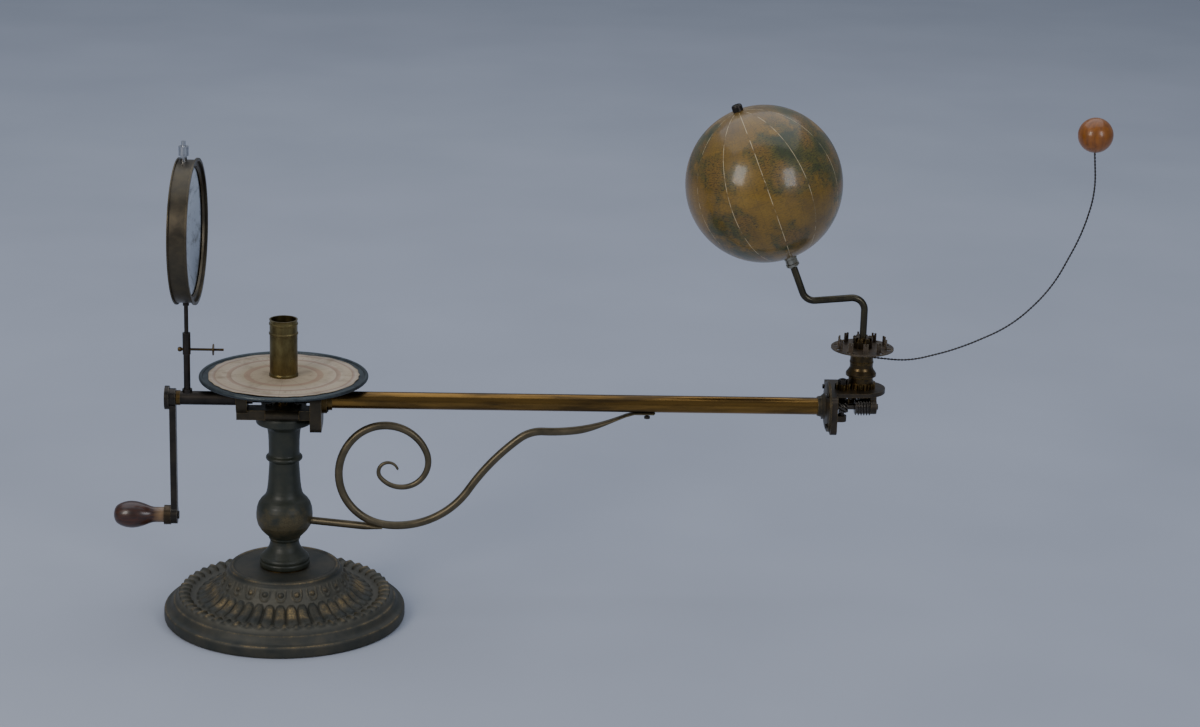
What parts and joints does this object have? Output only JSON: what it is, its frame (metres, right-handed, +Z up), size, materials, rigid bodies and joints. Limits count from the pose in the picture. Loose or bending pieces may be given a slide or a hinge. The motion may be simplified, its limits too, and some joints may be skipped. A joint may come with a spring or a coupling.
{
  "type": "orrery",
  "caption": "Hand-cranked tellurium: turned column on a round cast base, dial with candle socket, reflector, long geared arm, tilted globe and Moon ball on a wire",
  "frame": {"origin": "centre of the base's underside, on the column axis", "axes": "+Z up the column, +X along the arm towards the Earth globe, -Y towards the drive shaft's side"},
  "size_m": [1.0004, 0.248, 0.5472],
  "materials": {
    "black_iron": "worn dark paint with bronze showing on the high spots",
    "painted_column": "dark green-black paint rubbed through on the bulge",
    "lead_iron": "bare cast iron",
    "dark_steel": "dark oxidised steel",
    "bright_steel": "worn bright steel",
    "aged_brass": "aged brass with old lacquer",
    "dull_brass": "brown patinated brass",
    "zinc": "blue-grey zinc sheet",
    "dial_paper": "aged printed paper",
    "frame_bronze": "brown bronzed finish worn at edges",
    "olive_bronze": "dark olive bronzed iron",
    "patina_brass": "brown-grey patina",
    "silvered_glass": "silvered glass",
    "nickel": "worn nickel",
    "aluminium": "knurled",
    "red_wood": "lacquered turned hardwood",
    "globe_print": "varnished printed gores",
    "core_wood": "plain wood",
    "moon_wood": "polished orange-brown wood"
  },
  "bodies": {
    "stand": {"base_casting": "black_iron", "base_weight": "lead_iron", "base_fasteners": "dark_steel", "sun_spindle": "dark_steel", "thrust_washer": "aged_brass", "sun_wheel": "aged_brass", "dial_hub": "dull_brass", "dial_plate": "zinc", "dial_paper": "dial_paper", "candle_socket": "dull_brass", "socket_nut": "dark_steel"},
    "carriage": {"column": "painted_column", "bearing_bushes": "aged_brass", "head_frame": "frame_bronze", "carriage_screws": "dark_steel", "sleeve_tube": "dark_steel", "arm_tube": "aged_brass", "head_flange": "aged_brass", "end_flange": "aged_brass", "scroll_bracket": "olive_bronze", "scroll_strut": "olive_bronze", "end_bracket": "frame_bronze", "shaft_end_lug": "dark_steel", "arbor_cock": "dark_steel", "mirror_post": "dark_steel"},
    "crank": {"crank_shaft": "bright_steel", "head_worm": "bright_steel", "drive_shaft": "bright_steel", "end_worm": "bright_steel", "shaft_screw_gear": "bright_steel", "crank_hub": "dark_steel", "crank_arm": "dark_steel", "crank_pin": "bright_steel"},
    "grip": {"crank_grip": "red_wood", "grip_ferrule": "nickel"},
    "arbor": {"arbor": "dark_steel", "arbor_screw_gear": "aged_brass", "moon_pinion": "aged_brass", "arbor_nut": "dark_steel"},
    "moon_carrier": {"moon_sleeve": "dull_brass", "moon_gear": "aged_brass", "crown_disc": "frame_bronze", "moon_wire": "dark_steel", "moon_ball": "moon_wood"},
    "earth_carrier": {"earth_spindle": "bright_steel", "planet_wheel": "aged_brass", "planet_nut": "dark_steel", "rod_collar": "dull_brass", "globe_rod": "dark_steel", "globe_ferrule": "nickel", "pole_nut": "nickel"},
    "globe": {"globe": "globe_print", "globe_core": "core_wood"},
    "mirror_rod": {"mirror_stem": "dark_steel"},
    "mirror": {"mirror_pan": "patina_brass", "mirror_glass": "silvered_glass", "mirror_ring": "patina_brass", "mirror_nut": "aluminium"},
    "cross_pin": {"cross_pin": "dull_brass"}
  },
  "joints": [
    {"name": "orbit", "type": "hinge", "parent": "stand", "child": "carriage", "pos_m": [0, 0, 0.055], "axis": [0, 0, 1], "continuous": true},
    {"name": "crank_turn", "type": "hinge", "parent": "carriage", "child": "crank", "pos_m": [0, -0.02, 0.24], "axis": [1, 0, 0], "continuous": true},
    {"name": "grip_spin", "type": "hinge", "parent": "crank", "child": "grip", "pos_m": [-0.13, -0.02, 0.115], "axis": [1, 0, 0], "continuous": true},
    {"name": "arbor_turn", "type": "hinge", "parent": "carriage", "child": "arbor", "pos_m": [0.5687, -0.00828, 0.24], "axis": [0, 0, 1], "continuous": true},
    {"name": "moon_turn", "type": "hinge", "parent": "carriage", "child": "moon_carrier", "pos_m": [0.588, 0, 0.26], "axis": [0, 0, 1], "continuous": true},
    {"name": "earth_turn", "type": "hinge", "parent": "carriage", "child": "earth_carrier", "pos_m": [0.588, 0, 0.24], "axis": [0, 0, 1], "continuous": true},
    {"name": "globe_spin", "type": "hinge", "parent": "earth_carrier", "child": "globe", "pos_m": [0.48, 0, 0.466], "axis": [-0.3665, 0, 0.9304], "continuous": true},
    {"name": "mirror_slide", "type": "slide", "parent": "carriage", "child": "mirror_rod", "axis": [0, 0, 1], "range_m": [0, 0.01]},
    {"name": "mirror_turn", "type": "hinge", "parent": "mirror_rod", "child": "mirror", "pos_m": [-0.0955, -0.02, 0.34], "axis": [0, 0, 1], "range_deg": [-1.2, 7.2]},
    {"name": "pin_turn", "type": "hinge", "parent": "carriage", "child": "cross_pin", "pos_m": [-0.0955, -0.02, 0.2908], "axis": [1, 0, 0], "continuous": true}
  ],
  "couplings": [
    {"joint": "crank_turn", "follows": "orbit", "ratio": 26},
    {"joint": "arbor_turn", "follows": "orbit", "ratio": -26},
    {"joint": "moon_turn", "follows": "orbit", "ratio": 12.381},
    {"joint": "earth_turn", "follows": "orbit", "ratio": -1}
  ]
}
